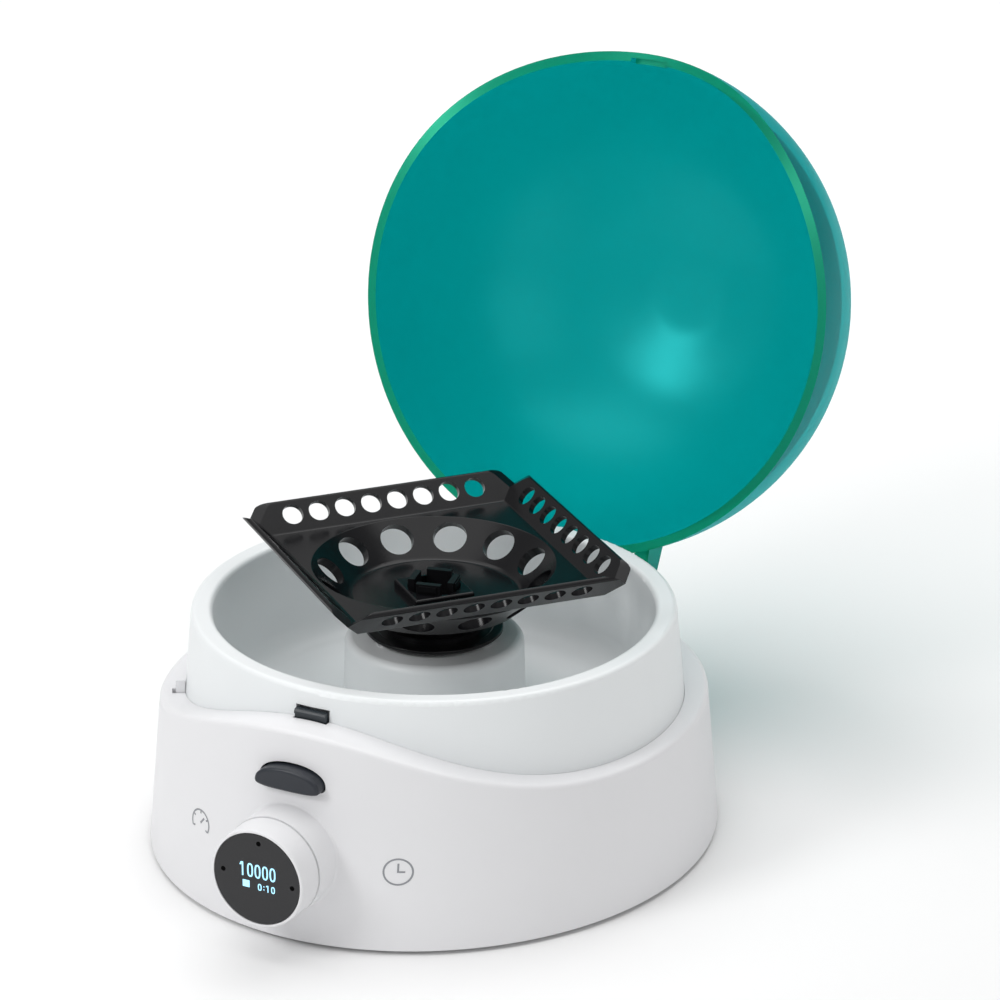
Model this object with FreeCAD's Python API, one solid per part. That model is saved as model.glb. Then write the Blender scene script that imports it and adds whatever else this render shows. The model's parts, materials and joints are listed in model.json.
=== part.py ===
# Laboratory mini centrifuge with a hinged clear dome, a square strip-and-tube rotor and a display knob.
# Millimetres, +Z up, the knob facing -Y. Shapes are built round the rotor's axis, then moved as they are
# exported, so the part's origin is on the table under the middle of its overall box, with the lid open.
import FreeCAD, Part
import math
import os

V = FreeCAD.Vector
ORIGIN = V(0, 0, 0)
X_AXIS = V(1, 0, 0)
Y_AXIS = V(0, 1, 0)
Z_AXIS = V(0, 0, 1)

# Driving dimensions. Heights given through up() are measured from the housing's bottom edge.
FOOT_DROP = 1.5              # how far the rubber feet stand below the housing
BOX_MIDDLE_Y = 39.1          # from the rotor's axis back to the middle of the overall box, lid open


def up(height):
    return FOOT_DROP + height


SHELL_HALF_X = 89.8          # housing, half width at its bottom edge
SHELL_HALF_Y = 97.5          # housing, half depth at its bottom edge
LEAN_X = 0.075               # half width lost per millimetre of height
LEAN_Y = 0.12                # half depth lost per millimetre of height
WALL = 2.4                   # moulded walls
LEDGE = 2.2                  # thickness of the ledge the lid lands on
SEAM_FIT = 0.12              # between the housing and the bowl's collar
SEAM_ROUND = 1.6             # rounding of the ledge's outer edge

SEAM_LOW = up(45.5)          # ledge at the sides and the back
SEAM_CREST = 20.5            # how much higher the ledge is at the front
SEAM_SHARPNESS = 9           # exponent that sets how narrow the crest is

RIM_TOP = up(75.0)
RIM_R = 77.2                 # outside of the chamber rim at its top
COLLAR_R = 79.9              # outside of the collar where it meets the low ledge
CHAMBER_R = 70.5             # inside of the chamber at the rim
CHAMBER_FLOOR = up(38.0)
TOWER_R = 28.6               # motor tower in the middle of the chamber
TOWER_TOP = up(64.5)

LID_R = 84.3
LID_WALL = 3.0
LID_BASE = up(46.3)          # height at which the dome starts to curve in
LID_RISE = 79.7              # from there to the apex
LID_POWER = 2.26             # a little fuller than an ellipse
LID_GAP = 0.4                # between the closed lid and the ledge
LID_OPEN = 104.5             # degrees, the resting pose
HINGE_Y = 92.0
HINGE_Z = up(51.5)
HINGE_X = 28.0               # the two hinge lugs stand at plus and minus this
PIN_R = 1.6
PIN_PLAY = 0.06
EAR_R = 4.4                  # round end of a housing ear
EAR_OFFSET = 4.7             # from the middle of a lug to the middle of the ears beside it
EAR_HALF = 1.6               # half the thickness of an ear
LUG_R = 4.2
LUG_HALF = 2.6
LUG_SLOT_HALF = 3.0

KNOB_Z = up(26.5)
KNOB_FRONT = -112.9          # front edge of the knob ring
KNOB_PART = -102.75          # parting line between the boss and the ring
KNOB_R = 16.1
KNOB_TRAVEL = 0.3
BOSS_R = 16.4
BOSS_ROUND = 0.9
CARRIER_R = 13.0
ENCODER_FRONT = -89.4

BUTTON_Z = up(48.0)          # bottom edge of the release button
BUTTON_HALF = 11.2
BUTTON_HIGH = 7.4
BUTTON_FRONT = -94.9
BUTTON_BACK = -84.6
BUTTON_GAP = 0.42            # all round, with 0.35 more above for the arch
BUTTON_ROUND = 1.1
HOOK_HALF = 5.4
HOOK_TOP = up(68.7)
HOOK_GAP = 0.5

ROTOR_TURN = 49.77           # bearing of the first rotor wall from +X
ROTOR_FLOOR = up(88.9)       # upper face of the square tray
ROTOR_HALF = 40.0            # from the axis to the crease where a wall starts
WALL_RISE = 8.4              # the walls lean out at 45 degrees by this much
ROTOR_SKIN = 2.0
DISH_SKIN = 3.0
DISH_R = 38.9
DISH_FLOOR_R = 27.0
DISH_FLOOR = up(78.6)
PLATFORM_HALF = 10.0         # raised square round the rotor's centre hole
PLATFORM_TOP = up(81.0)
STRIP_PITCH = 9.0            # standard pitch of 8-tube strips
STRIP_HOLE_R = 3.45
TUBE_HOLE_R = 5.5
TUBE_CIRCLE_R = 33.3
HUB_HOLE_R = 8.5

DISC_R = 22.0                # black seat disc under the rotor
DISC_BOTTOM = up(66.0)
DISC_TOP = up(67.6)
SHAFT_R = 2.5
SHAFT_PLAY = 0.05
SHAFT_TOP = up(74.0)

SCREW_R = 1.3                # housing screws
POST_R = 3.4
FOOT_R = 5.8
FOOT_RECESS_R = 6.6
PAN_TOP = up(2.5)
MOTOR_SCREW_CIRCLE = 18.0
MOTOR_SCREW_HOLE_R = 1.6
BOARD_Z = up(9.0)
BOARD_THICK = 1.6
INLET_Z = up(17)
INLET_R = 4.85

SWITCH_ANGLE = -57.0         # lid switch plunger, degrees round from the front
SWITCH_TRAVEL = 4.7          # how far the closing lid pushes the plunger down

NODES = {}


# ---------------------------------------------------------------- small helpers
def polar(radius, degrees, z=0.0):
    angle = math.radians(degrees)
    return V(radius * math.cos(angle), radius * math.sin(angle), z)


def disc(radius, z0, z1, x=0.0, y=0.0):
    return Part.makeCylinder(radius, z1 - z0, V(x, y, z0))


def rod(radius, start, end):
    run = end - start
    return Part.makeCylinder(radius, run.Length, start, run)


def block(x0, x1, y0, y1, z0, z1):
    return Part.makeBox(x1 - x0, y1 - y0, z1 - z0, V(x0, y0, z0))


def ring(outer, inner, z0, z1):
    return disc(outer, z0, z1).cut(disc(inner, z0 - 1, z1 + 1))


def tube_y(outer, inner, y0, y1, z):
    solid = rod(outer, V(0, y0, z), V(0, y1, z))
    return solid.cut(rod(inner, V(0, y0 - 1, z), V(0, y1 + 1, z)))


def joined(shapes):
    result = shapes[0]
    for shape in shapes[1:]:
        result = result.fuse(shape)
    return result.removeSplitter()


def turned(shape, degrees, centre=ORIGIN, axis=Z_AXIS):
    copy = shape.copy()
    copy.rotate(centre, axis, degrees)
    return copy


def rounded_face(points, radii):
    """Face bounded by straight edges through the points, each corner rounded by its own radius."""
    count = len(points)
    starts, ends, mids = [], [], []
    for i, corner in enumerate(points):
        before = (points[i - 1] - corner).normalize()
        after = (points[(i + 1) % count] - corner).normalize()
        radius = radii[i]
        if radius == 0:
            starts.append(corner)
            ends.append(corner)
            mids.append(None)
            continue
        half = before.getAngle(after) / 2
        reach = radius / math.tan(half)
        bisector = (before + after).normalize()
        centre = corner + bisector * (radius / math.sin(half))
        starts.append(corner + before * reach)
        ends.append(corner + after * reach)
        mids.append(centre - bisector * radius)
    edges = []
    for i in range(count):
        if mids[i] is not None:
            edges.append(Part.Arc(starts[i], mids[i], ends[i]).toShape())
        following = starts[(i + 1) % count]
        if (following - ends[i]).Length > 1e-6:
            edges.append(Part.LineSegment(ends[i], following).toShape())
    return Part.Face(Part.Wire(edges))


def revolved(profile):
    """Solid of revolution about the rotor axis from (radius, z, corner radius) triples."""
    points = [V(r, 0, z) for r, z, _ in profile]
    radii = [corner for _, _, corner in profile]
    return rounded_face(points, radii).revolve(ORIGIN, Z_AXIS, 360)


def export(name, shapes):
    solids = []
    for shape in shapes:
        solids.extend(shape.Solids)
    for solid in solids:
        if not solid.isValid():
            print("INVALID solid in", name)
    NODES[name] = solids
    result = solids[0] if len(solids) == 1 else Part.makeCompound(solids)
    result = result.translated(V(0, -BOX_MIDDLE_Y, 0))
    result.exportStep(f"parts/{name}.step")
    print(f"{name:22s} solids {len(solids):2d}  volume {sum(s.Volume for s in solids):10.1f}")


# ---------------------------------------------------------------- the wavy seam
def seam_height(angle):
    return SEAM_LOW + SEAM_CREST * ((1 + math.cos(angle)) / 2) ** SEAM_SHARPNESS


def seam_curve(radius, lift, count=48):
    points = []
    for i in range(count):
        angle = 2 * math.pi * i / count
        points.append(V(radius * math.sin(angle), -radius * math.cos(angle), seam_height(angle) + lift))
    curve = Part.BSplineCurve()
    curve.interpolate(Points=points, PeriodicFlag=True)
    return curve.toShape()


def seam_region(lift, rise):
    """Everything between the seam surface and the same surface moved by rise."""
    surface = Part.makeRuledSurface(seam_curve(45.0, lift), seam_curve(120.0, lift))
    return surface.extrude(V(0, 0, rise))


def collar_radius(z):
    return COLLAR_R + (RIM_R - COLLAR_R) * (z - SEAM_LOW) / (RIM_TOP - SEAM_LOW)


# ---------------------------------------------------------------- housing
def ellipse_wire(inset, z):
    half_x = SHELL_HALF_X - LEAN_X * (z - FOOT_DROP) - inset
    half_y = SHELL_HALF_Y - LEAN_Y * (z - FOOT_DROP) - inset
    curve = Part.Ellipse(V(0, half_y, z), V(half_x, 0, z), V(0, 0, z))
    return Part.Wire([curve.toShape()])


def housing_loft(inset, z0, z1):
    return Part.makeLoft([ellipse_wire(inset, z0), ellipse_wire(inset, z1)], True, True)


def button_prism(grow, extra_top, y0, y1, count=28):
    """Eyebrow-shaped prism: nearly straight below and arched above, each half a superellipse."""
    equator = BUTTON_Z + 2.2
    above = BUTTON_Z + BUTTON_HIGH - equator + grow + extra_top
    below = equator - BUTTON_Z + grow
    points = []
    for i in range(count):
        angle = 2 * math.pi * (i + 0.5) / count
        across, lift = math.cos(angle), math.sin(angle)
        power, height = (2.1, above) if lift > 0 else (3.4, below)
        x = math.copysign(abs(across) ** (2 / power), across) * (BUTTON_HALF + grow)
        z = math.copysign(abs(lift) ** (2 / power), lift) * height
        points.append(V(x, y0, equator + z))
    outline = Part.BSplineCurve()
    outline.interpolate(Points=points, PeriodicFlag=True)
    return Part.Face(Part.Wire([outline.toShape()])).extrude(V(0, y1 - y0, 0))


def hinge_ear(x0, x1):
    """White ear that stands on the ledge's rear edge and carries a hinge pin."""
    eye = rod(EAR_R, V(x0, HINGE_Y, HINGE_Z), V(x1, HINGE_Y, HINGE_Z))
    wall_y = 84.8
    points = [V(x0, wall_y, up(42.0)), V(x0, HINGE_Y + EAR_R, up(38.0)),
              V(x0, HINGE_Y + EAR_R, HINGE_Z), V(x0, HINGE_Y - EAR_R, HINGE_Z), V(x0, wall_y, SEAM_LOW)]
    post = rounded_face(points, [0] * len(points)).extrude(V(x1 - x0, 0, 0))
    return eye.fuse(post)


def switch_frame(shape):
    """Move a shape built round the front (-Y) direction to the lid switch's place."""
    return turned(shape, SWITCH_ANGLE)


def screw_bearings():
    return (25, 155, -115, -65)


def screw_sites():
    return [polar(84.0, bearing) for bearing in screw_bearings()]


def make_outer_shell():
    top = SEAM_LOW + SEAM_CREST + 5
    shell = housing_loft(0, FOOT_DROP, top).cut(seam_region(0, 60))
    hollow = housing_loft(WALL, FOOT_DROP - 1, top).cut(seam_region(-LEDGE, 60))
    shell = shell.cut(hollow)
    outermost = SHELL_HALF_X - LEAN_X * (SEAM_LOW - FOOT_DROP) - WALL / 2
    seam_edges = [e for e in shell.Edges if e.BoundBox.ZMax > SEAM_LOW + SEAM_CREST - 0.1 and
                  max(e.BoundBox.XMax, -e.BoundBox.XMin) > outermost]
    shell = shell.makeFillet(SEAM_ROUND, seam_edges)
    bottom, ceiling = SEAM_LOW - 8, RIM_TOP + 5
    shell = shell.cut(Part.makeCone(collar_radius(bottom) + SEAM_FIT, collar_radius(ceiling) + SEAM_FIT,
                                    ceiling - bottom, V(0, 0, bottom)))
    boss = rod(BOSS_R, V(0, KNOB_PART, KNOB_Z), V(0, -88.0, KNOB_Z))
    bore = rod(BOSS_R - WALL, V(0, KNOB_PART - 1, KNOB_Z), V(0, -80.0, KNOB_Z))
    shell = shell.fuse(boss)
    # The edge where the boss meets the outside of the wall is the only one that ends at this depth.
    boss_foot = [e for e in shell.Edges if -92.6 < e.BoundBox.YMax < -91.6 and
                 max(e.BoundBox.XMax, -e.BoundBox.XMin) < BOSS_R + 0.1]
    shell = shell.makeFillet(BOSS_ROUND, boss_foot)
    shell = shell.cut(housing_loft(WALL, FOOT_DROP, top).common(
        block(-20, 20, -92, -80, FOOT_DROP, up(44)))).cut(bore)
    shell = shell.cut(button_prism(BUTTON_GAP, 0.35, -100, -80))
    shell = shell.cut(block(-HOOK_HALF - HOOK_GAP, HOOK_HALF + HOOK_GAP, -79.85, -72, up(60), up(72)))
    for side in (-1, 1):
        for offset in (-EAR_OFFSET, EAR_OFFSET):
            middle = side * HINGE_X + offset
            shell = shell.fuse(hinge_ear(middle - EAR_HALF, middle + EAR_HALF))
        shell = shell.cut(rod(PIN_R, V(side * HINGE_X - 7, HINGE_Y, HINGE_Z),
                              V(side * HINGE_X + 7, HINGE_Y, HINGE_Z)))
    for bearing, site in zip(screw_bearings(), screw_sites()):
        post_top = seam_height(math.radians(bearing + 90)) - 1.3
        post = disc(POST_R, PAN_TOP, post_top, site.x, site.y)
        shell = shell.fuse(post).cut(disc(SCREW_R, up(0), up(16), site.x, site.y))
    shell = shell.cut(switch_frame(block(-2.6, 2.6, -83.9, -78.5, up(42.9), up(56))))
    shell = shell.cut(rod(INLET_R + 0.15, V(0, 84, INLET_Z), V(0, 110, INLET_Z)))
    export("outer_shell", [shell])


def bowl_boss_sites():
    return [V(side * 46, y, 0) for side in (-1, 1) for y in (-34, 22)]


def motor_screw_sites():
    return [polar(MOTOR_SCREW_CIRCLE, bearing) for bearing in (-121, -1, 119)]


def make_chamber_bowl():
    skin = 2.3
    inner_low = CHAMBER_R - 1.3
    foot = SEAM_LOW - LEDGE - 0.2
    bowl = revolved([
        (collar_radius(foot), foot, 0),
        (RIM_R, RIM_TOP, 1.7),
        (CHAMBER_R, RIM_TOP, 1.7),
        (inner_low, CHAMBER_FLOOR, 8.0),
        (TOWER_R + 0.8, CHAMBER_FLOOR, 5.0),
        (TOWER_R, TOWER_TOP, 2.6),
        (8.0, TOWER_TOP, 0),
        (8.0, TOWER_TOP - skin, 0),
        (TOWER_R - skin, TOWER_TOP - skin, 0),
        (TOWER_R + 0.8 - skin, CHAMBER_FLOOR - skin, 3.0),
        (inner_low + skin, CHAMBER_FLOOR - skin, 8.0),
        (CHAMBER_R + skin, RIM_TOP - skin, 0.8),
        (RIM_R - skin + 0.2, RIM_TOP - skin, 0.8),
        (collar_radius(foot) - skin, foot, 0)])
    for site in bowl_boss_sites():
        bowl = bowl.fuse(disc(POST_R + 0.2, PAN_TOP, CHAMBER_FLOOR - 1, site.x, site.y))
        bowl = bowl.cut(disc(SCREW_R, up(0), up(16), site.x, site.y))
    bowl = bowl.cut(block(-HOOK_HALF - HOOK_GAP, HOOK_HALF + HOOK_GAP, -86, -74.9, up(58), HOOK_TOP + 0.8))
    bowl = bowl.cut(block(-8.2, 8.2, -86, -75.6, up(40), up(60.5)))
    bowl = bowl.cut(switch_frame(block(-2.6, 2.6, -84, -79.35, up(40), up(53))))
    for spot in motor_screw_sites():
        bowl = bowl.cut(disc(MOTOR_SCREW_HOLE_R, TOWER_TOP - 5, TOWER_TOP + 1, spot.x, spot.y))
    export("chamber_bowl", [bowl])


def foot_sites():
    return [V(sx * 52, sy * 60, 0) for sx in (-1, 1) for sy in (-1, 1)]


def board_corners():
    return [V(x, y, 0) for x in (-31, 31) for y in (37, 71)]


def make_base_pan():
    inset = WALL + 0.25
    pan = housing_loft(inset, FOOT_DROP, PAN_TOP)
    for site in foot_sites():
        pan = pan.cut(disc(FOOT_RECESS_R, FOOT_DROP - 1, up(1.0), site.x, site.y))
    for corner in board_corners():
        pan = pan.fuse(disc(3.0, up(2.0), up(9.0), corner.x, corner.y))
        pan = pan.cut(disc(1.1, up(4.0), up(10.0), corner.x, corner.y))
    for site in screw_sites() + bowl_boss_sites():
        pan = pan.cut(disc(1.7, 0, up(4), site.x, site.y))
        pan = pan.cut(disc(3.0, 0, up(1.2), site.x, site.y))
    for i in range(7):
        x = (i - 3) * 6.0
        pan = pan.cut(block(x - 1.2, x + 1.2, -14, 14, 0, up(4)))
    export("base_pan", [pan])


def make_feet_and_screws():
    feet = []
    for site in foot_sites():
        foot = Part.makeCone(FOOT_R, FOOT_R + 0.6, up(1.0), V(site.x, site.y, 0))
        feet.append(foot)
    export("rubber_feet", feet)
    screws = []
    for site in screw_sites() + bowl_boss_sites():
        head = disc(2.7, up(0.3), up(1.2), site.x, site.y)
        slot = block(site.x - 2, site.x + 2, site.y - 0.3, site.y + 0.3, 0, up(0.7))
        screws.append(head.cut(slot).fuse(disc(SCREW_R, up(1.2), up(14), site.x, site.y)))
    export("base_screws", screws)


# ---------------------------------------------------------------- motor
MOTOR_TOP = up(58.0)
MOTOR_BOTTOM = up(34.0)
MOTOR_R = 20.0
MOTOR_BORE_R = 18.4
BEARING_R = 8.0
STATOR_BOTTOM = up(41.0)
STATOR_TOP = up(51.0)


def make_motor():
    cover = 4.2
    housing = disc(MOTOR_R, MOTOR_BOTTOM, MOTOR_TOP)
    housing = housing.cut(disc(MOTOR_BORE_R, MOTOR_BOTTOM + cover, MOTOR_TOP - cover))
    housing = housing.cut(disc(BEARING_R, MOTOR_TOP - cover, MOTOR_TOP + 1))
    housing = housing.cut(disc(BEARING_R, MOTOR_BOTTOM - 1, MOTOR_BOTTOM + cover))
    for i in range(6):
        slot = block(13.5, 17.5, -2.5, 2.5, MOTOR_BOTTOM - 1, MOTOR_BOTTOM + 3)
        housing = housing.cut(turned(slot, 60 * i))
    for spot in motor_screw_sites():
        housing = housing.cut(disc(1.35, MOTOR_TOP - 2, MOTOR_TOP + 1, spot.x, spot.y))
    export("motor_housing", [housing])

    teeth = [ring(MOTOR_BORE_R, 16.4, STATOR_BOTTOM, STATOR_TOP)]
    for i in range(6):
        teeth.append(turned(block(11.4, 17.0, -2.2, 2.2, STATOR_BOTTOM, STATOR_TOP), 60 * i))
    export("motor_stator", [joined(teeth).cut(disc(11.4, STATOR_BOTTOM - 1, STATOR_TOP + 1))])

    coils = []
    for i in range(6):
        bobbin = block(12.4, 15.8, -3.7, 3.7, up(39.6), up(52.4))
        bobbin = bobbin.cut(block(12.0, 16.5, -2.2, 2.2, STATOR_BOTTOM, STATOR_TOP))
        coils.append(turned(bobbin, 60 * i))
    export("motor_windings", coils)

    export("motor_magnet", [ring(10.8, SHAFT_R, up(40.5), up(51.5))])
    shaft = disc(SHAFT_R, up(32.5), SHAFT_TOP)
    export("motor_shaft", [shaft.cut(block(SHAFT_R - 0.5, SHAFT_R + 1, -3, 3, up(67), SHAFT_TOP + 1))])
    bearings = []
    for z0 in (MOTOR_BOTTOM + 0.1, MOTOR_TOP - 4.1):
        bearings.append(ring(BEARING_R, SHAFT_R + SHAFT_PLAY, z0, z0 + 4.0))
    export("motor_bearings", bearings)

    bracket = ring(26.0, 8.4, MOTOR_TOP, up(60.0))
    isolators, screws = [], []
    lip = ring(MOTOR_R + 1.0, MOTOR_R, MOTOR_TOP - 5, MOTOR_TOP)
    for i in range(3):
        tab = block(14, 30, -6, 6, MOTOR_TOP - 5, MOTOR_TOP)
        bracket = bracket.fuse(lip.common(turned(tab, 30 + 120 * i)))
    for spot in motor_screw_sites():
        bracket = bracket.cut(disc(MOTOR_SCREW_HOLE_R, MOTOR_TOP - 1, up(61), spot.x, spot.y))
        pad = disc(2.0, up(60.0), TOWER_TOP - 2.3, spot.x, spot.y)
        isolators.append(pad.cut(disc(1.4, up(59), TOWER_TOP, spot.x, spot.y)))
        head = disc(2.5, TOWER_TOP, TOWER_TOP + 0.9, spot.x, spot.y)
        slot = block(spot.x - 2, spot.x + 2, spot.y - 0.3, spot.y + 0.3, TOWER_TOP + 0.4, TOWER_TOP + 2)
        head = head.cut(slot)
        screws.append(head.fuse(disc(SCREW_R, up(56.5), TOWER_TOP, spot.x, spot.y)))
    export("motor_bracket", [bracket])
    export("motor_isolators", isolators)
    export("motor_screws", screws)


# ---------------------------------------------------------------- electronics
def make_electronics():
    z, top = BOARD_Z, BOARD_Z + BOARD_THICK
    board = block(-35, 35, 33, 75, z, top)
    for corner in board_corners():
        board = board.cut(disc(1.2, z - 1, z + 3, corner.x, corner.y))
    export("control_board", [board])
    screws = []
    for corner in board_corners():
        head = disc(2.2, top, top + 1.3, corner.x, corner.y)
        screws.append(head.fuse(disc(1.05, up(5.0), top, corner.x, corner.y)))
    export("board_screws", screws)
    chips = [block(-9, 3, 46, 58, top, top + 1.4),
             block(10, 15, 44, 49, top, top + 1.1),
             block(18, 23, 44, 49, top, top + 1.1),
             block(26, 31, 44, 49, top, top + 1.1)]
    for x, radius, height in ((-24, 5.0, 12.0), (-13, 3.2, 8.0), (16, 4.0, 10.0)):
        chips.append(disc(radius, top, top + height, x, 66))
    export("board_components", chips)
    plug = block(-16, -2, 34.5, 40.5, top, top + 7)
    plug = plug.cut(block(-15, -3, 35.5, 39.5, top + 1.5, top + 8))
    motor_plug = block(6, 16, 34.5, 40.5, top, top + 7)
    motor_plug = motor_plug.cut(block(7, 15, 35.5, 39.5, top + 1.5, top + 8))
    export("board_connectors", [plug, motor_plug])

    half = 5.6
    barrel = rod(INLET_R, V(0, 87.5, INLET_Z), V(0, 96.0, INLET_Z))
    barrel = barrel.fuse(block(-half, half, 79, 90.5, INLET_Z - half, INLET_Z + half))
    barrel = barrel.cut(rod(3.1, V(0, 83, INLET_Z), V(0, 97, INLET_Z)))
    export("power_inlet", [barrel])
    export("inlet_pin", [rod(1.0, V(0, 83.0, INLET_Z), V(0, 94.5, INLET_Z))])


# ---------------------------------------------------------------- lid
def dome_curve(radius, rise, count=9):
    """Quarter superellipse from the rim up to the apex, in the XZ plane."""
    points = []
    for i in range(count):
        angle = math.pi / 2 * i / (count - 1)
        along = math.cos(angle) ** (2 / LID_POWER) if i < count - 1 else 0.0
        lift = math.sin(angle) ** (2 / LID_POWER)
        points.append(V(radius * along, 0, LID_BASE + rise * lift))
    curve = Part.BSplineCurve()
    curve.interpolate(Points=points, InitialTangent=Z_AXIS * radius, FinalTangent=X_AXIS * -radius)
    return curve.toShape()


def dome_solid(radius, rise, z0):
    apex = V(0, 0, LID_BASE + rise)
    foot, corner = V(0, 0, z0), V(radius, 0, z0)
    edges = [Part.LineSegment(foot, corner).toShape(),
             Part.LineSegment(corner, V(radius, 0, LID_BASE)).toShape(),
             dome_curve(radius, rise),
             Part.LineSegment(apex, foot).toShape()]
    return Part.Face(Part.Wire(edges)).revolve(ORIGIN, Z_AXIS, 360)


def lid_lug(x):
    """Arm that runs from the back of the lid's rim to the hinge pin."""
    side = x - LUG_HALF
    eye = rod(LUG_R, V(side, HINGE_Y, HINGE_Z), V(x + LUG_HALF, HINGE_Y, HINGE_Z))
    points = [V(side, 74.0, HINGE_Z - 2.0), V(side, HINGE_Y, HINGE_Z - LUG_R),
              V(side, HINGE_Y, HINGE_Z + LUG_R), V(side, 74.0, HINGE_Z + 9.0)]
    arm = rounded_face(points, [0] * len(points)).extrude(V(2 * LUG_HALF, 0, 0))
    return eye.fuse(arm)


def opened(shape):
    return turned(shape, -LID_OPEN, V(0, HINGE_Y, HINGE_Z), X_AXIS)


def make_lid():
    inside = dome_solid(LID_R - LID_WALL, LID_RISE - LID_WALL, SEAM_LOW - 12)
    dome = dome_solid(LID_R, LID_RISE, SEAM_LOW - 10)
    for side in (-1, 1):
        dome = dome.fuse(lid_lug(side * HINGE_X))
    below = seam_region(LID_GAP, -60)
    for x in (-HINGE_X, HINGE_X):
        below = below.cut(block(x - LUG_SLOT_HALF, x + LUG_SLOT_HALF, 84.0, 100, up(40), up(60)))
    dome = dome.cut(inside).cut(below)
    recess = block(-HOOK_HALF - HOOK_GAP, HOOK_HALF + HOOK_GAP, -80.6, -75, up(60), HOOK_TOP + 1.4)
    dome = dome.cut(recess)
    for side in (-1, 1):
        x = side * HINGE_X
        dome = dome.cut(rod(PIN_R + PIN_PLAY, V(x - 5, HINGE_Y, HINGE_Z), V(x + 5, HINGE_Y, HINGE_Z)))
    export("lid_dome", [opened(dome)])
    pins = []
    for side in (-1, 1):
        x = side * HINGE_X
        pins.append(rod(PIN_R, V(x - 6.3, HINGE_Y, HINGE_Z), V(x + 6.3, HINGE_Y, HINGE_Z)))
    export("hinge_pins", pins)


# ---------------------------------------------------------------- rotor
def corner_notch():
    """Prism along +X that opens a V between two walls, with its shoulders rounded over."""
    low, high = ROTOR_FLOOR + 3.3, ROTOR_FLOOR + WALL_RISE + 0.05
    ceiling = high + 5
    edge, shoulder = 4.6, 10.0
    half_face = [V(40, 0, low), V(40, edge, low + 3.2)]
    arc = Part.Arc(V(40, edge, low + 3.2), V(40, edge + 2.3, low + 4.5), V(40, shoulder, high))
    edges = [Part.LineSegment(*half_face).toShape(), arc.toShape(),
             Part.LineSegment(V(40, shoulder, high), V(40, shoulder, ceiling)).toShape(),
             Part.LineSegment(V(40, shoulder, ceiling), V(40, 0, ceiling)).toShape(),
             Part.LineSegment(V(40, 0, ceiling), V(40, 0, low)).toShape()]
    half = Part.Face(Part.Wire(edges)).extrude(V(60, 0, 0))
    return half.fuse(half.mirror(ORIGIN, Y_AXIS))


def rotor_wall():
    """One leaning wall, cut to the quarter between the two diagonals, facing +X."""
    reach = ROTOR_SKIN / math.sqrt(2)
    inner = ROTOR_HALF + WALL_RISE
    top = ROTOR_FLOOR + WALL_RISE
    below = ROTOR_FLOOR - ROTOR_SKIN
    outer_foot = ROTOR_HALF + 2 * reach - ROTOR_SKIN
    points = [V(34, 0, ROTOR_FLOOR), V(ROTOR_HALF, 0, ROTOR_FLOOR), V(inner, 0, top),
              V(inner + reach, 0, top - reach), V(outer_foot, 0, below), V(34, 0, below)]
    section = rounded_face(points, [0, 1.2, 0.95, 0.95, 2.0, 0])
    section.translate(V(0, -60, 0))
    wall = section.extrude(V(0, 120, 0))
    quarter = Part.Face(Part.makePolygon([V(0, 0, below - 1), V(80, -80, below - 1), V(80, 80, below - 1),
                                          V(0, 0, below - 1)])).extrude(V(0, 0, 30))
    wall = wall.common(quarter)
    hole_x, hole_z = 44.5, ROTOR_FLOOR + 4.5
    for i in range(8):
        y = (i - 3.5) * STRIP_PITCH
        start = V(hole_x - 6, y, hole_z + 6)
        wall = wall.cut(rod(STRIP_HOLE_R, start, V(hole_x + 6, y, hole_z - 6)))
    return wall


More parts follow.
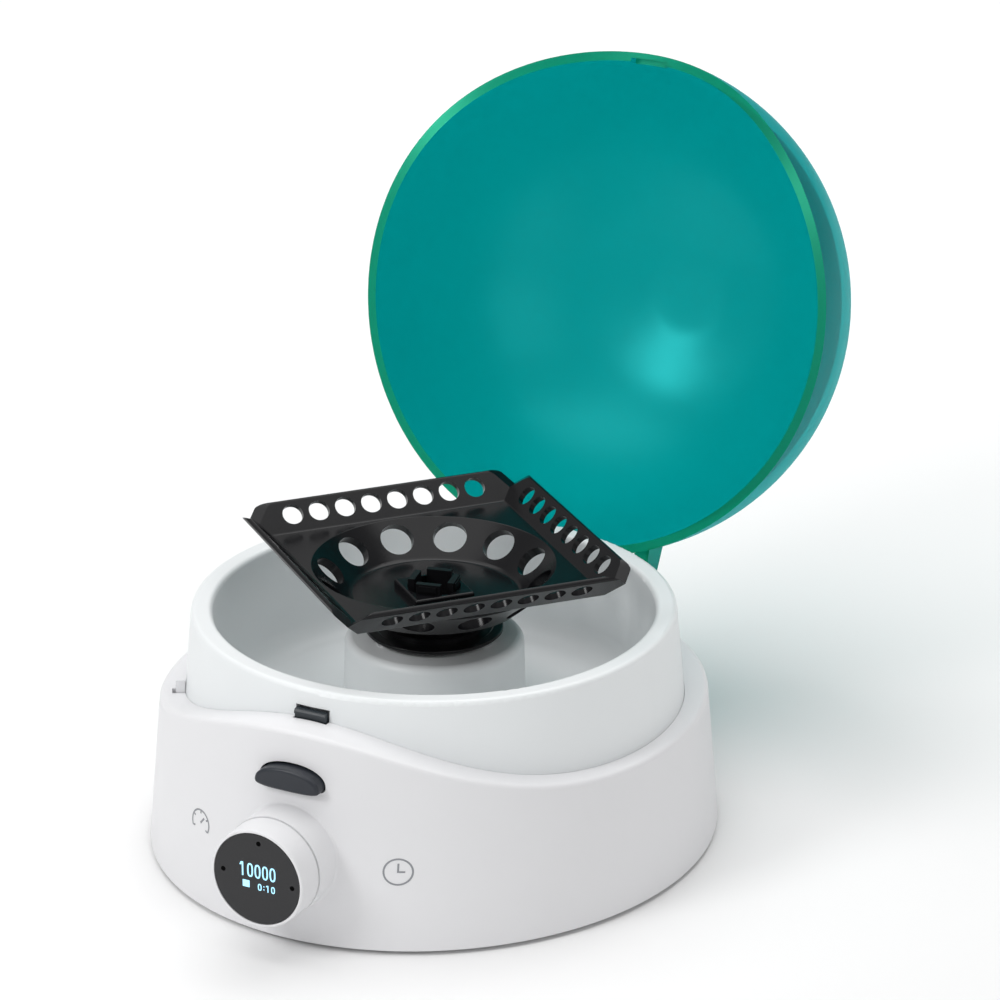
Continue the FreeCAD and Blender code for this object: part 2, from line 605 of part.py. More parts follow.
def make_rotor():
    walls = [turned(rotor_wall(), 90 * i) for i in range(4)]
    below = ROTOR_FLOOR - ROTOR_SKIN
    plate = block(-36, 36, -36, 36, below, ROTOR_FLOOR)
    rotor = joined(walls + [plate])
    notch = corner_notch()
    for i in range(4):
        rotor = rotor.cut(turned(notch, 45 + 90 * i))
    dish_outer = DISH_R + 0.6
    rotor = rotor.cut(disc(dish_outer, below - 1, ROTOR_FLOOR + 1))
    drop = 0.93 * DISH_SKIN
    under = DISH_FLOOR - drop
    skirt_r, skirt_bottom = 12.5, up(68.8)
    dish = revolved([
        (HUB_HOLE_R, DISH_FLOOR, 0),
        (DISH_FLOOR_R, DISH_FLOOR, 3.0),
        (DISH_R, ROTOR_FLOOR, 0.5),
        (dish_outer, ROTOR_FLOOR, 0),
        (dish_outer + 0.8, below, 0),
        (DISH_R + drop / 2, ROTOR_FLOOR - drop, 0),
        (DISH_FLOOR_R + drop / 2, under, 3.0),
        (skirt_r, under, 0),
        (skirt_r, skirt_bottom, 0),
        (HUB_HOLE_R, skirt_bottom, 0)])
    half = PLATFORM_HALF
    platform = block(-half, half, -half, half, DISH_FLOOR - 1, PLATFORM_TOP)
    corners = [e for e in platform.Edges if e.BoundBox.ZLength > 1 or e.BoundBox.ZMin > PLATFORM_TOP - 0.01]
    platform = platform.makeFillet(0.7, corners)
    rotor = joined([rotor, dish, platform]).cut(disc(HUB_HOLE_R, skirt_bottom - 1, PLATFORM_TOP + 1))
    slope = V(DISH_R - DISH_FLOOR_R, 0, ROTOR_FLOOR - DISH_FLOOR).normalize()
    normal = V(-slope.z, 0, slope.x)
    along = (TUBE_CIRCLE_R - DISH_FLOOR_R) / (DISH_R - DISH_FLOOR_R)
    middle = V(TUBE_CIRCLE_R, 0, DISH_FLOOR + along * (ROTOR_FLOOR - DISH_FLOOR))
    bore = rod(TUBE_HOLE_R, middle - normal * 5.5, middle + normal * 8)
    for i in range(12):
        rotor = rotor.cut(turned(bore, 30 * i))
    export("rotor", [turned(rotor, ROTOR_TURN)])

    fingers = [ring(8.2, 5.3, up(68.8), up(71.0))]
    for i in range(4):
        finger = block(5.4, 7.4, -4.0, 4.0, up(70.5), up(84.0))
        tip = block(6.8, 7.9, -2.8, 2.8, up(81.6), up(83.4))
        fingers.append(turned(joined([finger, tip]), 53 + 90 * i))
    export("rotor_clip", [turned(joined(fingers), ROTOR_TURN)])

    seat = revolved([
        (SHAFT_R, DISC_BOTTOM, 0),
        (DISC_R - 0.6, DISC_BOTTOM, 0),
        (DISC_R, DISC_BOTTOM + 0.6, 0),
        (DISC_R, DISC_TOP, 0.4),
        (DISC_R - 3.0, DISC_TOP, 0),
        (DISC_R - 3.6, DISC_TOP - 0.4, 0),
        (15.6, DISC_TOP - 0.4, 0),
        (15.6, up(68.8), 0),
        (5.2, up(68.8), 0),
        (5.2, up(76.6), 1.5),
        (SHAFT_R, up(76.6), 0)])
    export("rotor_seat", [seat])


# ---------------------------------------------------------------- display knob
def make_knob():
    z = KNOB_Z
    back = KNOB_PART - KNOB_TRAVEL - 0.1
    profile = [V(0, KNOB_FRONT, z + CARRIER_R + 2.1), V(0, KNOB_FRONT, z + KNOB_R - 0.15),
               V(0, back, z + KNOB_R), V(0, back, z + CARRIER_R + 0.06),
               V(0, KNOB_FRONT + 2.4, z + CARRIER_R + 0.06), V(0, KNOB_FRONT + 2.4, z + CARRIER_R + 2.1)]
    section = rounded_face(profile, [0.1, 0.6, 0.15, 0, 0, 0])
    knob = section.revolve(V(0, 0, z), Y_AXIS, 360)
    export("knob_ring", [knob])

    lens_back = KNOB_FRONT + 1.8
    lens = rod(CARRIER_R + 1.9, V(0, KNOB_FRONT + 0.15, z), V(0, lens_back, z))
    export("display_lens", [lens])
    carrier = tube_y(CARRIER_R, CARRIER_R - 1.5, lens_back, -96.0, z)
    web = rod(CARRIER_R - 1.5, V(0, -103.5, z), V(0, -102.0, z))
    stem = rod(2.0, V(0, -102.0, z), V(0, -92.2, z))
    catch = tube_y(CARRIER_R + 0.5, CARRIER_R - 1.5, -98.6, -96.0, z)
    export("knob_carrier", [joined([carrier, web, stem, catch])])
    panel = block(-9, 9, lens_back, lens_back + 1.4, z - 6.5, z + 6.5)
    export("display_panel", [panel])
    driver = block(-8, 8, lens_back + 1.4, lens_back + 2.6, z - 6.0, z + 6.0)
    export("display_board", [driver])

    front, back_face = ENCODER_FRONT, ENCODER_FRONT + BOARD_THICK
    encoder = rod(15.0, V(0, front, z), V(0, back_face, z))
    encoder = encoder.cut(block(-20, 20, front - 1, back_face + 1, z + 12.0, z + 20))
    export("encoder_board", [encoder])
    tact = block(-3, 3, front - 2.1, front, z - 3, z + 3)
    export("press_switch", [tact])
    export("knob_spring", [coil_spring(5.0, 0.35, V(0, -101.95, z), V(0, front - 0.02, z), 5)])
    sensors = []
    for angle in (40, 140):
        spot = polar(11.0, angle)
        low, high = z + spot.y - 1.0, z + spot.y + 1.0
        sensors.append(block(spot.x - 1.5, spot.x + 1.5, front - 1.4, front, low, high))
    export("knob_sensors", sensors)


def coil_spring(radius, wire, start, end, turns):
    """Coil spring drawn as a stack of closed rings on one straight wire."""
    along = (end - start).normalize()
    pitch = ((end - start).Length - 2 * wire) / (turns - 1)
    coils = []
    for i in range(turns):
        coils.append(Part.makeTorus(radius, wire, start + along * (wire + pitch * i), along))
    side = X_AXIS * radius
    link = rod(wire * 0.8, start + along * wire + side, end - along * wire + side)
    return joined(coils + [link])


# ---------------------------------------------------------------- lid latch
def make_latch():
    button = button_prism(0, 0, BUTTON_FRONT, BUTTON_BACK)
    front_edges = [e for e in button.Edges if e.BoundBox.YMax < BUTTON_FRONT + 0.01]
    button = button.makeFillet(BUTTON_ROUND, front_edges)
    flange = button_prism(1.6, 0, BUTTON_BACK - 1.8, BUTTON_BACK)
    export("release_button", [joined([button, flange])])

    stem = block(-HOOK_HALF, HOOK_HALF, -84.5, -83.0, up(45.0), up(61.5))
    step = block(-HOOK_HALF, HOOK_HALF, -84.5, -77.4, up(60.6), up(62.6))
    neck = block(-HOOK_HALF, HOOK_HALF, -79.3, -77.4, up(60.6), HOOK_TOP)
    nose_points = [V(-HOOK_HALF, -79.2, up(67.0)), V(-HOOK_HALF, -79.75, up(67.2)),
                   V(-HOOK_HALF, -79.75, up(68.0)), V(-HOOK_HALF, -79.2, HOOK_TOP)]
    nose = rounded_face(nose_points, [0] * 4).extrude(V(2 * HOOK_HALF, 0, 0))
    hook = joined([stem, step, neck, nose])
    export("latch_slider", [hook])
    export("latch_spring", [coil_spring(2.6, 0.35, V(0, -82.98, up(51)), V(0, -78.12, up(51)), 4)])
    guide = block(-7.6, 7.6, -78.1, -76.6, up(43.4), up(58.0))
    export("latch_guide", [guide])


# ---------------------------------------------------------------- lid switch
def make_lid_switch():
    top = seam_height(math.radians(SWITCH_ANGLE)) + SWITCH_TRAVEL - 0.1
    plunger = block(-2.2, 2.2, -82.75, -79.75, up(34.0), top)
    flange = block(-3.2, 3.2, -84.0, -80.7, up(43.3), up(44.7))
    export("lid_switch_plunger", [switch_frame(joined([plunger, flange]))])
    middle = -81.25
    spring = coil_spring(1.2, 0.25, V(0, middle, up(28.52)), V(0, middle, up(33.98)), 5)
    export("plunger_spring", [switch_frame(spring)])
    body = block(-6.4, 6.4, -83.6, -77.6, up(19.0), up(28.5))
    export("lid_switch", [switch_frame(body)])
    bracket = block(-7.4, 7.4, -84.4, -83.6, up(18.0), up(29.5))
    export("lid_switch_bracket", [switch_frame(bracket)])


def make_all():
    os.makedirs("parts", exist_ok=True)
    make_outer_shell()
    make_chamber_bowl()
    make_base_pan()
    make_feet_and_screws()
    make_motor()
    make_electronics()
    make_lid()
    make_rotor()
    make_knob()
    make_latch()
    make_lid_switch()
    print("nodes", len(NODES))


make_all()
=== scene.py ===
import json
import math

import bpy
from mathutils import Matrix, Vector


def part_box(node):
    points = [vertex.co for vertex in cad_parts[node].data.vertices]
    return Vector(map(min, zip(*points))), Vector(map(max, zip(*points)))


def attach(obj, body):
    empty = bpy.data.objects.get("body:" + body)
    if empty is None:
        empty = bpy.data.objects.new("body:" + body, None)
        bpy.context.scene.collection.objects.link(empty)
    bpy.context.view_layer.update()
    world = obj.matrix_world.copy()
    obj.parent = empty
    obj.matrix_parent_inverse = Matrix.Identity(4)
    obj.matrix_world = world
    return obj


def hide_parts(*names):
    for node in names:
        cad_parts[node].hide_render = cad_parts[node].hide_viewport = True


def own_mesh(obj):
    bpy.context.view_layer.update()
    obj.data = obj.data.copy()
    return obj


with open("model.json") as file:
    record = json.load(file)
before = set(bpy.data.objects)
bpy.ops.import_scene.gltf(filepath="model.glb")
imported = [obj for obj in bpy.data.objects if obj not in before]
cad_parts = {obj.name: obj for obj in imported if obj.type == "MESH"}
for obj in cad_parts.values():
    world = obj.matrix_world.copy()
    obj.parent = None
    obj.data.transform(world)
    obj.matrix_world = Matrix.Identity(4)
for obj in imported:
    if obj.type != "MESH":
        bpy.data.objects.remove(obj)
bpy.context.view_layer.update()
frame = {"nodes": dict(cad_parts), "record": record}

NODES = frame["nodes"]


def middle(node):
    low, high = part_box(node)
    return (Vector(low) + Vector(high)) / 2


MM = 0.001
AXIS_Y = middle("motor_shaft").y      # where the rotor's axis stands
HINGE = middle("hinge_pins")
LID_AXIS = Vector((0.0, -0.968, 0.250))   # from the open lid's apex out through its rim
RIM_FACING = 0.45                         # least cosine between the cut edge's normal and that axis
RIM_DEPTH = 25 * MM                       # how far behind the hinge the cut edge still reaches


# ---------------------------------------------------------------- materials
class Build:
    """Small helper that adds nodes to one material."""

    def __init__(self, name):
        self.material = bpy.data.materials.new(name)
        self.material.use_nodes = True
        self.tree = self.material.node_tree
        self.tree.nodes.clear()
        self.out = self.add("ShaderNodeOutputMaterial")
        self.coords = self.add("ShaderNodeTexCoord").outputs["Object"]

    def add(self, kind, **values):
        node = self.tree.nodes.new(kind)
        for key, value in values.items():
            setattr(node, key, value)
        return node

    def link(self, source, target):
        self.tree.links.new(source, target)

    def noise(self, scale, detail=3.0, stretch=None):
        node = self.add("ShaderNodeTexNoise")
        node.inputs["Scale"].default_value = scale
        node.inputs["Detail"].default_value = detail
        source = self.coords
        if stretch:
            mapping = self.add("ShaderNodeMapping")
            mapping.inputs["Scale"].default_value = stretch
            self.link(source, mapping.inputs["Vector"])
            source = mapping.outputs["Vector"]
        self.link(source, node.inputs["Vector"])
        return node.outputs["Fac"]

    def spread(self, factor, low, high):
        node = self.add("ShaderNodeMapRange")
        node.inputs["To Min"].default_value = low
        node.inputs["To Max"].default_value = high
        self.link(factor, node.inputs["Value"])
        return node.outputs["Result"]

    def mix(self, factor, first, second):
        node = self.add("ShaderNodeMix", data_type="RGBA")
        node.inputs["A"].default_value = (*first, 1.0)
        node.inputs["B"].default_value = (*second, 1.0)
        self.link(factor, node.inputs["Factor"])
        return node.outputs["Result"]

    def maths(self, operation, first, second):
        node = self.add("ShaderNodeMath", operation=operation)
        for socket, value in zip(node.inputs, (first, second)):
            if isinstance(value, (int, float)):
                socket.default_value = value
            else:
                self.link(value, socket)
        return node.outputs["Value"]

    def along(self, source, direction):
        node = self.add("ShaderNodeVectorMath", operation="DOT_PRODUCT")
        self.link(source, node.inputs[0])
        node.inputs[1].default_value = direction
        return node.outputs["Value"]

    def lid_edge(self):
        """1 on the lid's cut edge: close to the rim, and facing the way the lid opens."""
        normal = self.add("ShaderNodeTexCoord").outputs["Normal"]
        facing = self.maths("GREATER_THAN", self.along(normal, LID_AXIS), RIM_FACING)
        depth = self.along(self.coords, LID_AXIS)
        near = self.maths("GREATER_THAN", depth, LID_AXIS.dot(HINGE) - RIM_DEPTH)
        return self.maths("MULTIPLY", facing, near)

    def bump(self, height, strength, distance):
        node = self.add("ShaderNodeBump")
        node.inputs["Strength"].default_value = strength
        node.inputs["Distance"].default_value = distance
        self.link(height, node.inputs["Height"])
        return node.outputs["Normal"]


LID_TINT = (0.02, 0.66, 0.66)             # light let through where the plastic is clearest
LID_TINT_DEEP = (0.0, 0.58, 0.58)
RIM_TINT = (0.0, 0.42, 0.26)
LID_HAZE = (0.0, 0.42, 0.425)             # colour of the cloudy, reflecting share
RIM_HAZE = (0.0, 0.36, 0.20)
LID_GLOSS_TINT = (0.7, 0.97, 0.97, 1.0)


CLOUD_SCALE = 28.0        # noise scales are per metre
GLOSS_SCALE = 140.0
GRAIN_SCALE = 3200.0
STREAK_SCALE = 900.0
GRAIN_DEPTH = 0.2 * MM
STREAK_DEPTH = 0.1 * MM


def tinted(colour, gain):
    return tuple(min(1.0, c * gain) for c in colour)


def moulded(name, colour, roughness, grain=0.05, coat=0.0, specular=0.5, vary=0.03):
    """Moulded plastic: faint cloudy tone, uneven gloss and a fine grain."""
    b = Build(name)
    shader = b.add("ShaderNodeBsdfPrincipled")
    cloud = b.noise(CLOUD_SCALE, 4.0)
    tone = b.mix(cloud, tinted(colour, 1 - vary), tinted(colour, 1 + vary))
    gloss = b.spread(b.noise(GLOSS_SCALE, 5.0), roughness - 0.05, roughness + 0.05)
    b.link(tone, shader.inputs["Base Color"])
    b.link(gloss, shader.inputs["Roughness"])
    b.link(b.bump(b.noise(GRAIN_SCALE, 2.0), grain, GRAIN_DEPTH), shader.inputs["Normal"])
    shader.inputs["Specular IOR Level"].default_value = specular
    shader.inputs["Coat Weight"].default_value = coat
    shader.inputs["Coat Roughness"].default_value = 0.12
    b.link(shader.outputs["BSDF"], b.out.inputs["Surface"])
    return b.material


def metal(name, colour, roughness, stretch=None, grain=0.1):
    """Metal with fine streaks in its finish."""
    b = Build(name)
    shader = b.add("ShaderNodeBsdfPrincipled")
    streak = b.noise(STREAK_SCALE, 3.0, stretch)
    b.link(b.mix(streak, tinted(colour, 0.88), tinted(colour, 1.1)), shader.inputs["Base Color"])
    b.link(b.spread(streak, roughness - 0.07, roughness + 0.09), shader.inputs["Roughness"])
    b.link(b.bump(streak, grain, STREAK_DEPTH), shader.inputs["Normal"])
    shader.inputs["Metallic"].default_value = 1.0
    b.link(shader.outputs["BSDF"], b.out.inputs["Surface"])
    return b.material


def clear_teal(name):
    """Tinted clear plastic: see-through, a little cloudy, glossy, greener at its cut edge."""
    b = Build(name)
    cloud = b.noise(9.0, 3.0)
    tint = b.mix(cloud, LID_TINT_DEEP, LID_TINT)
    edge = b.lid_edge()
    rim = b.add("ShaderNodeMix", data_type="RGBA")
    b.link(edge, rim.inputs["Factor"])
    b.link(tint, rim.inputs["A"])
    rim.inputs["B"].default_value = (*RIM_TINT, 1.0)
    through = b.add("ShaderNodeBsdfTransparent")
    b.link(rim.outputs["Result"], through.inputs["Color"])
    haze = b.add("ShaderNodeBsdfPrincipled")
    b.link(b.mix(edge, LID_HAZE, RIM_HAZE), haze.inputs["Base Color"])
    b.link(b.spread(b.noise(60.0, 4.0), 0.29, 0.36), haze.inputs["Roughness"])
    b.link(b.bump(b.noise(420.0, 2.0), 0.03, GRAIN_DEPTH), haze.inputs["Normal"])
    haze.inputs["Metallic"].default_value = 0.35
    haze.inputs["IOR"].default_value = 1.5
    haze.inputs["Specular Tint"].default_value = LID_GLOSS_TINT
    mixed = b.add("ShaderNodeMixShader")
    b.link(b.spread(edge, 0.34, 0.6), mixed.inputs["Fac"])
    b.link(through.outputs["BSDF"], mixed.inputs[1])
    b.link(haze.outputs["BSDF"], mixed.inputs[2])
    b.link(mixed.outputs["Shader"], b.out.inputs["Surface"])
    return b.material


def glowing(name, colour, strength):
    """Lit display marks, with a faint unevenness."""
    b = Build(name)
    shader = b.add("ShaderNodeBsdfPrincipled")
    shader.inputs["Base Color"].default_value = (*tinted(colour, 0.5), 1.0)
    shader.inputs["Roughness"].default_value = 0.4
    b.link(b.mix(b.noise(900.0, 2.0), tinted(colour, 0.9), colour), shader.inputs["Emission Color"])
    shader.inputs["Emission Strength"].default_value = strength
    b.link(shader.outputs["BSDF"], b.out.inputs["Surface"])
    return b.material


WHITE = (0.80, 0.80, 0.815)
# the bowl's white with painted light: lighter than the shell white for painted extra light in the
# chamber, and tinted teal for painted teal light through the lid
BOWL_PAINTED_LID_LIGHT = (0.83, 0.856, 0.864)
MATERIALS = {
    "shell_white": moulded("shell_white", WHITE, 0.42, grain=0.05, vary=0.012),
    # bowl white carries painted light: lighter and teal-tinted for the light falling through the lid
    "bowl_white": moulded("bowl_white", BOWL_PAINTED_LID_LIGHT, 0.38, grain=0.03, vary=0.012),
    "pan_grey": moulded("pan_grey", (0.60, 0.61, 0.63), 0.55, grain=0.3),
    "foot_rubber": moulded("foot_rubber", (0.025, 0.025, 0.026), 0.75, grain=0.4),
    "screw_steel": metal("screw_steel", (0.62, 0.62, 0.63), 0.3),
    "motor_steel": metal("motor_steel", (0.55, 0.55, 0.56), 0.35, (1.0, 1.0, 12.0)),
    "lamination": metal("lamination", (0.33, 0.33, 0.35), 0.45, (0.2, 0.2, 14.0), 0.5),
    "copper_wire": metal("copper_wire", (0.72, 0.35, 0.16), 0.35, (0.3, 0.3, 9.0), 0.6),
    "magnet": moulded("magnet", (0.07, 0.07, 0.075), 0.5, grain=0.3),
    "shaft_steel": metal("shaft_steel", (0.62, 0.62, 0.64), 0.22, (1.0, 1.0, 10.0)),
    "board_green": moulded("board_green", (0.03, 0.20, 0.09), 0.38,
                           grain=0.2, coat=0.3, vary=0.2),
    "chip_black": moulded("chip_black", (0.025, 0.025, 0.028), 0.55, grain=0.3),
    "connector_nylon": moulded("connector_nylon", (0.80, 0.78, 0.70), 0.5, grain=0.1),
    "inlet_black": moulded("inlet_black", (0.028, 0.028, 0.03), 0.5, grain=0.2),
    "contact_brass": metal("contact_brass", (0.75, 0.60, 0.30), 0.25),
    "lid_teal": clear_teal("lid_teal"),
    "rotor_black": moulded("rotor_black", (0.0035, 0.0035, 0.0045), 0.21,
                           grain=0.04, specular=0.25, vary=0.2),
    "seat_black": moulded("seat_black", (0.006, 0.006, 0.007), 0.30,
                          grain=0.05, specular=0.25, vary=0.15),
    "ring_white": moulded("ring_white", WHITE, 0.38, grain=0.04, vary=0.012),
    "window_black": moulded("window_black", (0.008, 0.008, 0.010), 0.22, grain=0.01, vary=0.1),
    "carrier_grey": moulded("carrier_grey", (0.10, 0.10, 0.11), 0.5, grain=0.1),
    "panel_glass": moulded("panel_glass", (0.02, 0.02, 0.025), 0.15, grain=0.01),
    "button_grey": moulded("button_grey", (0.022, 0.026, 0.034), 0.38,
                           grain=0.1, specular=0.4, vary=0.1),
    "latch_black": moulded("latch_black", (0.018, 0.025, 0.031), 0.4, grain=0.1, vary=0.1),
    "spring_steel": metal("spring_steel", (0.55, 0.55, 0.56), 0.28),
    "bracket_steel": metal("bracket_steel", (0.50, 0.50, 0.52), 0.34, (1.0, 8.0, 1.0)),
    "display_glow": glowing("display_glow", (0.36, 0.72, 0.92), 1.35),
    "dot_black": moulded("dot_black", (0.002, 0.002, 0.002), 0.6, grain=0.02, specular=0.02),
    "print_grey": moulded("print_grey", (0.28, 0.29, 0.31), 0.5, grain=0.05),
}


def paint_nodes():
    slots = {row["node"]: row["material_slot"] for row in frame["record"]["subparts"]}
    for name, obj in NODES.items():
        material = MATERIALS[slots[name]]
        for index in range(max(1, len(obj.material_slots))):
            if index < len(obj.material_slots):
                obj.material_slots[index].material = material
            else:
                obj.data.materials.append(material)


paint_nodes()


# ---------------------------------------------------------------- small pieces
def piece_from_mesh(name, verts, faces, material, body):
    mesh = bpy.data.meshes.new(name)
    mesh.from_pydata([tuple(v) for v in verts], [], faces)
    mesh.update()
    obj = bpy.data.objects.new(name, mesh)
    bpy.context.scene.collection.objects.link(obj)
    mesh.materials.append(MATERIALS[material])
    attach(obj, body)
    return obj


def outline_ring(verts, faces, x, z, half_wide, half_tall, line, y0, y1, count=28, power=2.6):
    """An upright oval ring, as the digit 0, standing from y0 back to y1."""
    start = len(verts)
    for y, inset in ((y1, 0.0), (y0, 0.0), (y0, line), (y1, line)):
        for i in range(count):
            angle = 2 * math.pi * i / count
            across = math.copysign(abs(math.cos(angle)) ** (2 / power), math.cos(angle))
            lift = math.copysign(abs(math.sin(angle)) ** (2 / power), math.sin(angle))
            verts.append((x + across * (half_wide - inset), y, z + lift * (half_tall - inset)))
    for loop in range(3):
        for i in range(count):
            a, b = start + loop * count + i, start + loop * count + (i + 1) % count
            faces.append((a, b, b + count, a + count))


def bar(verts, faces, x0, x1, z0, z1, y0, y1, lean=0.0):
    """One upright box; its top may lean sideways."""
    start = len(verts)
    for y in (y0, y1):
        verts.extend([(x0, y, z0), (x1, y, z0), (x1 + lean, y, z1), (x0 + lean, y, z1)])
    faces.extend([tuple(start + i for i in quad) for quad in
                  ((0, 1, 2, 3), (7, 6, 5, 4), (0, 4, 5, 1), (1, 5, 6, 2), (2, 6, 7, 3), (3, 7, 4, 0))])


def write_number(verts, faces, text, x, z, wide, tall, pitch, line, y0, y1):
    """Digits 0 and 1 and a colon, from x along +X, with their middles at height z."""
    for char in text:
        if char == "0":
            outline_ring(verts, faces, x + wide / 2, z, wide / 2, tall / 2, line, y0, y1)
        elif char == "1":
            right = x + wide * 0.62
            bar(verts, faces, right - line, right, z - tall / 2, z + tall / 2, y0, y1)
            bar(verts, faces, right - 2.6 * line, right - 1.5 * line,
                z + tall * 0.26, z + tall / 2, y0, y1, line)
        else:
            for lift in (-0.22, 0.22):
                bar(verts, faces, x + wide * 0.15, x + wide * 0.15 + line,
                    z + lift * tall - line / 2, z + lift * tall + line / 2, y0, y1)
            x -= pitch * 0.35
        x += pitch


PROUD = 0.03 * MM             # how far a display mark stands in front of the window
SUNK = 0.1 * MM
DOTS = (("window_dot_top", 0.8, 11.9), ("window_dot_right", 12.3, -0.4), ("window_dot_left", -11.8, 0.9))
DOT_RADIUS = 0.8 * MM


def display_marks():
    """Speed, time and run marks on the window, and its three dark dots."""
    low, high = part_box("display_lens")
    face = low.y
    centre = (low + high) / 2
    y0, y1 = face - PROUD, face + SUNK

    def add(name, verts, faces, material="display_glow"):
        piece_from_mesh(name, verts, faces, material, "display_knob")

    verts, faces = [], []
    write_number(verts, faces, "10000", centre.x - 6.0 * MM, centre.z + 2.5 * MM,
                 2.1 * MM, 4.6 * MM, 2.62 * MM, 0.52 * MM, y0, y1)
    add("display_speed_digits", verts, faces)
    verts, faces = [], []
    write_number(verts, faces, "0:10", centre.x + 0.3 * MM, centre.z - 2.6 * MM,
                 1.35 * MM, 2.3 * MM, 1.75 * MM, 0.36 * MM, y0, y1)
    add("display_time_digits", verts, faces)
    verts, faces = [], []
    bar(verts, faces, centre.x - 5.0 * MM, centre.x - 2.6 * MM,
        centre.z - 3.4 * MM, centre.z - 1.1 * MM, y0, y1)
    add("display_run_mark", verts, faces)
    for name, across, lift in DOTS:
        verts, faces = [], []
        outline_ring(verts, faces, centre.x + across * MM, centre.z + lift * MM, DOT_RADIUS, DOT_RADIUS,
                     0.975 * DOT_RADIUS, y0, y1, 16, 2.0)
        add(name, verts, faces, "dot_black")


display_marks()


# ---------------------------------------------------------------- printed signs beside the knob
SHELL_BOTTOM = 1.5 * MM       # the housing's bottom edge, over the feet
SHELL_HALF = (89.8 * MM, 97.5 * MM)
SHELL_LEAN = (0.075, 0.12)


def shell_depth(x, z):
    """Y of the outside of the housing's front at x, z: the same leaning ellipse as the CAD body."""
    height = z - SHELL_BOTTOM
    half_x = SHELL_HALF[0] - SHELL_LEAN[0] * height
    half_y = SHELL_HALF[1] - SHELL_LEAN[1] * height
    return AXIS_Y - half_y * math.sqrt(1 - (x / half_x) ** 2)


def stroke(verts, faces, path, line, lift=0.04 * MM):
    """A printed line along (x, z) points, laid on the housing's outside."""
    start = len(verts)
    for i, (x, z) in enumerate(path):
        ahead = path[min(i + 1, len(path) - 1)]
        behind = path[max(i - 1, 0)]
        dx, dz = ahead[0] - behind[0], ahead[1] - behind[1]
        length = math.hypot(dx, dz) or 1.0
        nx, nz = -dz / length * line / 2, dx / length * line / 2
        for side in (-1, 1):
            px, pz = x + side * nx, z + side * nz
            verts.append((px, shell_depth(px, pz) - lift, pz))
    for i in range(len(path) - 1):
        a = start + 2 * i
        faces.append((a, a + 2, a + 3, a + 1))


def arc(x, z, radius, start, end, count=26):
    span = [math.radians(start + (end - start) * i / count) for i in range(count + 1)]
    return [(x + radius * math.cos(t), z + radius * math.sin(t)) for t in span]


SIGN_LINE = 0.55 * MM
SIGN_RADIUS = 4.1 * MM


def gauge_sign(x, z):
    """A round scale with ticks and a needle: speed."""
    verts, faces = [], []
    line = SIGN_LINE
    stroke(verts, faces, arc(x, z, SIGN_RADIUS, -30, 210), line)
    for angle in (-30, 30, 90, 150, 210):
        turn = math.radians(angle)
        near, far = 3.0 * MM, 3.9 * MM
        stroke(verts, faces, [(x + near * math.cos(turn), z + near * math.sin(turn)),
                              (x + far * math.cos(turn), z + far * math.sin(turn))], line)
    stroke(verts, faces, [(x, z), (x + 1.7 * MM, z + 2.0 * MM)], line * 1.2)
    piece_from_mesh("speed_sign", verts, faces, "print_grey", "base")


def clock_sign(x, z):
    """A clock face with two hands: time."""
    verts, faces = [], []
    line = SIGN_LINE
    stroke(verts, faces, arc(x, z, SIGN_RADIUS, 0, 360, 40), line)
    stroke(verts, faces, [(x, z - line / 2), (x, z + 2.7 * MM)], line)
    stroke(verts, faces, [(x - line / 2, z), (x + 2.0 * MM, z)], line)
    piece_from_mesh("time_sign", verts, faces, "print_grey", "base")


gauge_sign(-36.0 * MM, 27.5 * MM)
clock_sign(34.5 * MM, 27.0 * MM)


# ---------------------------------------------------------------- return springs
COIL_STEPS = 30               # points in one turn
WIRE_SIDES = 10


def coil_centre(share, active_turns, length, wire):
    """Turn and height along a coil at share, 0 to 1, with one closed turn at each end."""
    turns = active_turns + 2
    turn = share * turns
    closed = 2.1 * wire
    middle_pitch = (length - 2 * wire - 2 * closed) / active_turns
    rise = wire + closed * min(turn, 1.0)
    rise += middle_pitch * min(max(turn - 1.0, 0.0), active_turns)
    rise += closed * max(turn - 1.0 - active_turns, 0.0)
    return 2 * math.pi * turn, rise


def return_coil(name, node, along_axis, wire, active_turns):
    """A helical spring in the space of its CAD spring."""
    low, high = (Vector(corner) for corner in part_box(node))
    up_axis = Vector([1.0 if i == along_axis else 0.0 for i in range(3)])
    side = Vector((1.0, 0.0, 0.0))
    across = up_axis.cross(side)
    length = high[along_axis] - low[along_axis]
    radius = (high.x - low.x) / 2 - wire
    foot = (low + high) / 2
    foot[along_axis] = low[along_axis]
    steps = COIL_STEPS * (active_turns + 2)
    around = WIRE_SIDES
    verts, faces = [], []
    for step in range(steps + 1):
        turn, rise = coil_centre(step / steps, active_turns, length, wire)
        out = side * math.cos(turn) + across * math.sin(turn)
        centre = foot + out * radius + up_axis * rise
        for k in range(around):
            angle = 2 * math.pi * k / around
            verts.append(centre + (out * math.cos(angle) + up_axis * math.sin(angle)) * wire)
    for step in range(steps):
        for k in range(around):
            a, b = step * around + k, step * around + (k + 1) % around
            faces.append((a, b, b + around, a + around))
    faces.append(tuple(reversed(range(around))))
    faces.append(tuple(steps * around + k for k in range(around)))
    coil = piece_from_mesh(name, verts, faces, "spring_steel", "base")
    coil.data.polygons.foreach_set("use_smooth", [True] * len(faces))
    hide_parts(node)
    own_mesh(coil)


Y_AXIS, Z_AXIS = 1, 2
return_coil("knob_return_coil", "knob_spring", Y_AXIS, 0.35 * MM, 5)
return_coil("latch_return_coil", "latch_spring", Y_AXIS, 0.30 * MM, 4)
return_coil("peg_return_coil", "plunger_spring", Z_AXIS, 0.22 * MM, 4)


# ---------------------------------------------------------------- studio
def from_axis(place):
    """A place given from where the rotor's axis meets the table."""
    x, y, z = place
    return Vector((x, y + AXIS_Y, z))


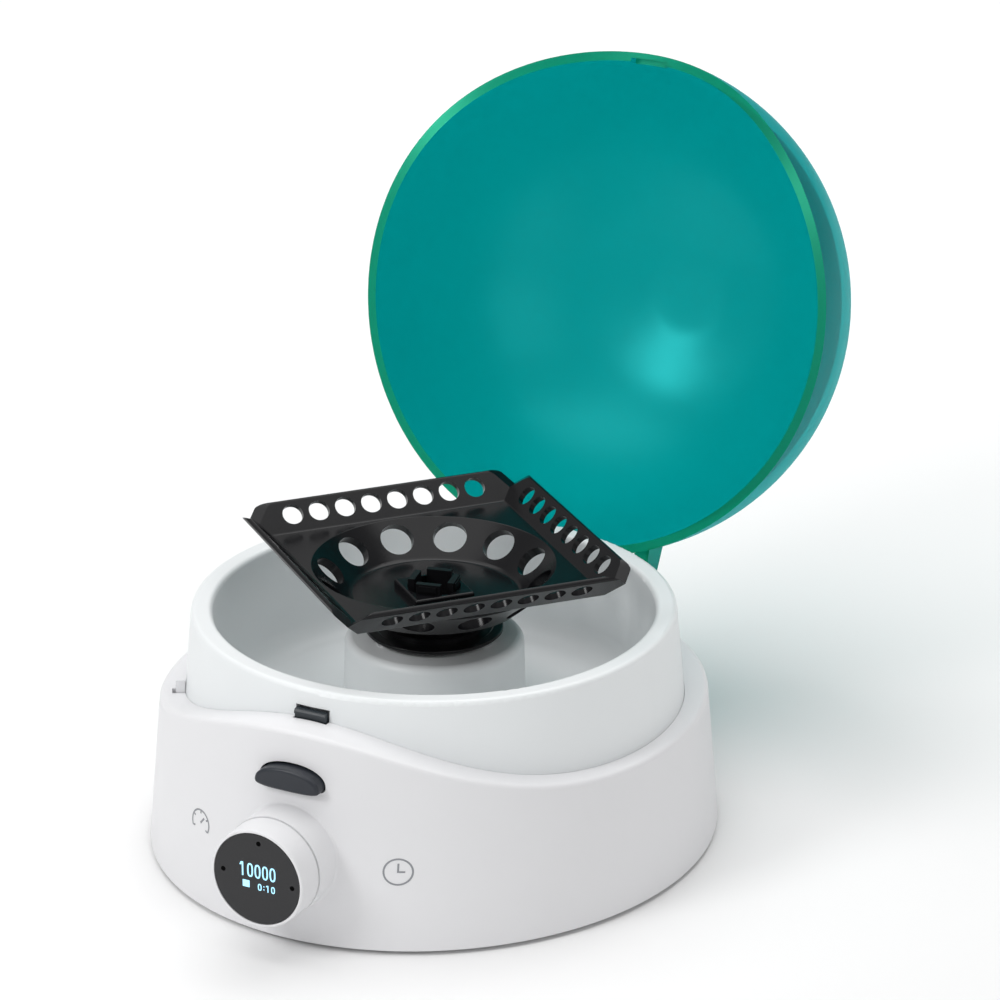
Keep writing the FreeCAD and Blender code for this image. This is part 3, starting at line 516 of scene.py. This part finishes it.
def area_light(name, place, target, size, power, spread=180):
    data = bpy.data.lights.new(name, "AREA")
    data.shape = "SQUARE"
    data.size = size
    data.energy = power
    data.spread = math.radians(spread)
    obj = bpy.data.objects.new(name, data)
    bpy.context.scene.collection.objects.link(obj)
    obj.location = from_axis(place)
    obj.rotation_euler = (Vector(target) - Vector(place)).to_track_quat("-Z", "Y").to_euler()


FLOOR_HALF = 6.0
WORLD_LIGHT = 0.36
CAMERA_LENS = 174.86
CAMERA_PLACE = (0.6831, -1.2472, 0.6810)
CAMERA_AIM = Vector((-0.43394, 0.82068, -0.37173))


def make_floor():
    half = FLOOR_HALF
    corners = [(-half, -half, 0), (half, -half, 0), (half, half, 0), (-half, half, 0)]
    mesh = bpy.data.meshes.new("studio_floor")
    mesh.from_pydata(corners, [], [(0, 1, 2, 3)])
    floor = bpy.data.objects.new("studio_floor", mesh)
    bpy.context.scene.collection.objects.link(floor)
    b = Build("floor_paper")
    shader = b.add("ShaderNodeBsdfPrincipled")
    b.link(b.mix(b.noise(2.0), (0.90, 0.90, 0.90), (0.92, 0.92, 0.92)), shader.inputs["Base Color"])
    shader.inputs["Roughness"].default_value = 0.85
    shader.inputs["Specular IOR Level"].default_value = 0.1
    b.link(shader.outputs["BSDF"], b.out.inputs["Surface"])
    mesh.materials.append(b.material)


def make_world():
    world = bpy.data.worlds.new("studio_world")
    bpy.context.scene.world = world
    world.use_nodes = True
    background = world.node_tree.nodes["Background"]
    background.inputs["Color"].default_value = (1.0, 1.0, 1.0, 1.0)
    background.inputs["Strength"].default_value = WORLD_LIGHT


def make_camera():
    data = bpy.data.cameras.new("photo_camera")
    data.lens = CAMERA_LENS
    data.sensor_width = 36.0
    data.clip_start = 0.05
    data.clip_end = 30.0
    camera = bpy.data.objects.new("photo_camera", data)
    bpy.context.scene.collection.objects.link(camera)
    camera.location = from_axis(CAMERA_PLACE)
    camera.rotation_euler = CAMERA_AIM.to_track_quat("-Z", "Y").to_euler()
    bpy.context.scene.camera = camera


make_floor()
make_world()
make_camera()
area_light("key_softbox", (-0.45, -0.85, 0.73), (0, 0.1, 0.09), 0.36, 4.1)
area_light("fill_softbox", (1.3, -0.8, 0.8), (0, 0, 0.08), 1.1, 3.0)
area_light("top_softbox", (-0.15, 0.2, 1.6), (0, 0.05, 0.1), 1.9, 18.6)
area_light("floor_softbox", (-0.4, 1.0, 1.0), (-0.4, 1.0, 0.0), 1.4, 2.6, 100)

scene = bpy.context.scene
scene.view_settings.view_transform = "Standard"
scene.view_settings.exposure = 0.0
